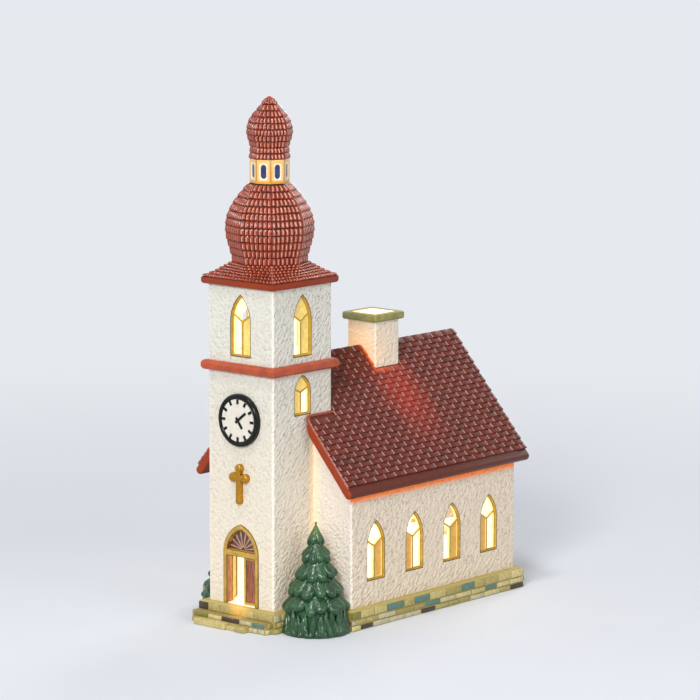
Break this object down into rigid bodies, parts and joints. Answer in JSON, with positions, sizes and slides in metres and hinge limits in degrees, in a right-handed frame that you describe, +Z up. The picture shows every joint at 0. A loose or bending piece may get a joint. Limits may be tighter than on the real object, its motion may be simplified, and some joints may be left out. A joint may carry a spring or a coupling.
{
  "type": "lit porcelain village church",
  "caption": "Lit porcelain village church: nave with tiled roof and chimney, bell tower with clock, cross and onion domes, clip-in lamp holder in the rear gable.",
  "frame": {"origin": "middle of the base's underside, on the supporting surface", "axes": "+Z up, -Y out of the tower's front with the door, +X to the right as seen from the front"},
  "size_m": [0.096, 0.1747, 0.24],
  "materials": {
    "stucco": "matt pitted bisque",
    "stone": "painted stone courses",
    "roof_tile": "satin brown glaze",
    "dome_tile": "satin russet glaze",
    "lantern": "satin cream glaze",
    "lantern_blue": "gloss blue",
    "cap_green": "satin olive glaze",
    "tracery": "satin ochre glaze",
    "door_brown": "satin brown glaze",
    "clock_black": "gloss",
    "clock_white": "gloss",
    "gold": "gilt",
    "fir": "deep gloss green",
    "holder": "moulded",
    "spring": "rolled strip",
    "brass": "drawn",
    "solder": "solder",
    "clear_glass": "clear",
    "filament": "drawn wire"
  },
  "bodies": {
    "church": {"base_plinth": "stone", "belfry_window_front": "tracery", "belfry_window_left": "tracery", "belfry_window_rear": "tracery", "belfry_window_right": "tracery", "chimney_cap": "cap_green", "chimney_stack": "stucco", "clock_dial": "clock_white", "clock_hands": "clock_black", "clock_hour_marks": "clock_black", "clock_ring": "clock_black", "cross": "gold", "door_fanlight": "door_brown", "door_frame": "tracery", "door_leaf_left": "door_brown", "door_leaf_right": "door_brown", "door_step": "stone", "lantern": "lantern", "lantern_windows": "lantern_blue", "lower_window_left": "tracery", "lower_window_right": "tracery", "nave_roof": "roof_tile", "nave_walls": "stucco", "nave_window_left_1": "tracery", "nave_window_left_2": "tracery", "nave_window_left_3": "tracery", "nave_window_left_4": "tracery", "nave_window_right_1": "tracery", "nave_window_right_2": "tracery", "nave_window_right_3": "tracery", "nave_window_right_4": "tracery", "onion_dome": "dome_tile", "skirt_roof": "dome_tile", "top_onion": "dome_tile", "tower_band": "dome_tile", "tower_walls": "stucco", "tree_left": "fir", "tree_right": "fir"},
    "lamp_holder": {"lamp_housing": "holder", "lamp_spring_clips": "spring", "lamp_screw_shell": "brass", "lamp_centre_contact": "brass", "cord_gland": "holder"},
    "bulb_tip": {"bulb_contact": "solder"},
    "bulb": {"bulb_cap": "brass", "bulb_glass": "clear_glass", "bulb_stem": "clear_glass", "bulb_filament": "filament"}
  },
  "joints": [
    {"name": "lamp_slide", "type": "slide", "parent": "church", "child": "lamp_holder", "axis": [0, 1, 0], "range_m": [0, 0.085], "deforming": ["lamp_spring_clips"]},
    {"name": "bulb_climb", "type": "slide", "parent": "lamp_holder", "child": "bulb_tip", "axis": [0, -1, 0], "range_m": [0, 0.0153]},
    {"name": "bulb_turn", "type": "hinge", "parent": "bulb_tip", "child": "bulb", "pos_m": [0, 0.0638, 0.036], "axis": [0, -1, 0], "range_deg": [0, 2160]}
  ],
  "couplings": [
    {"joint": "bulb_climb", "follows": "bulb_turn", "m_per_rad": 0.00040425}
  ]
}
